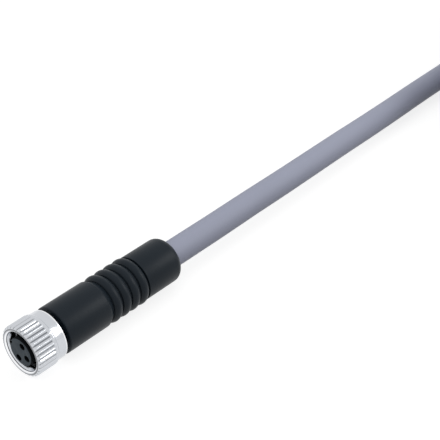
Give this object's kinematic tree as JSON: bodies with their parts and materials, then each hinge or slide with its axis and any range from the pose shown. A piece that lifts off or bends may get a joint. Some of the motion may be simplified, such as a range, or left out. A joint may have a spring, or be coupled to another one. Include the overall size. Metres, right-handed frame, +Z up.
{
  "type": "circular sensor connector",
  "caption": "Straight round female sensor connector with a ribbed metal coupling ring, a black moulded ribbed grip and a grey moulded-on cable wound to a hank.",
  "frame": {"origin": "on the floor under the middle of the connector's length, the cable left out", "axes": "+X along the connector from its mating face to its cable, +Z up, with the connector lying on its side"},
  "size_m": [0.2236, 0.0492, 0.0308],
  "materials": {
    "nickel": "bright nickel plating on brass",
    "carrier": "dark grey moulded plastic",
    "seal": "matte",
    "gold": "gold plating",
    "copper": "bare copper strands",
    "brown_core": "smooth insulation",
    "blue_core": "smooth insulation",
    "black_core": "smooth insulation",
    "grip": "moulded, satin",
    "jacket": "smooth extruded jacket, satin",
    "tie": "moulded"
  },
  "bodies": {
    "connector": {"contact_carrier": "carrier", "sealing_ring": "seal", "contact_1": "gold", "contact_3": "gold", "contact_4": "gold", "conductor_brown": "copper", "conductor_blue": "copper", "conductor_black": "copper", "core_brown": "brown_core", "core_blue": "blue_core", "core_black": "black_core", "grip_body": "grip", "cable_jacket": "jacket", "cable_lead": "jacket", "cable_hank": "jacket", "hank_tie_front": "tie", "hank_tie_back": "tie"},
    "ring": {"coupling_ring": "nickel"}
  },
  "joints": [
    {"name": "ring_spin", "type": "hinge", "parent": "connector", "child": "ring", "pos_m": [-0.01485, 0, 0.0049], "axis": [1, 0, 0], "continuous": true}
  ]
}
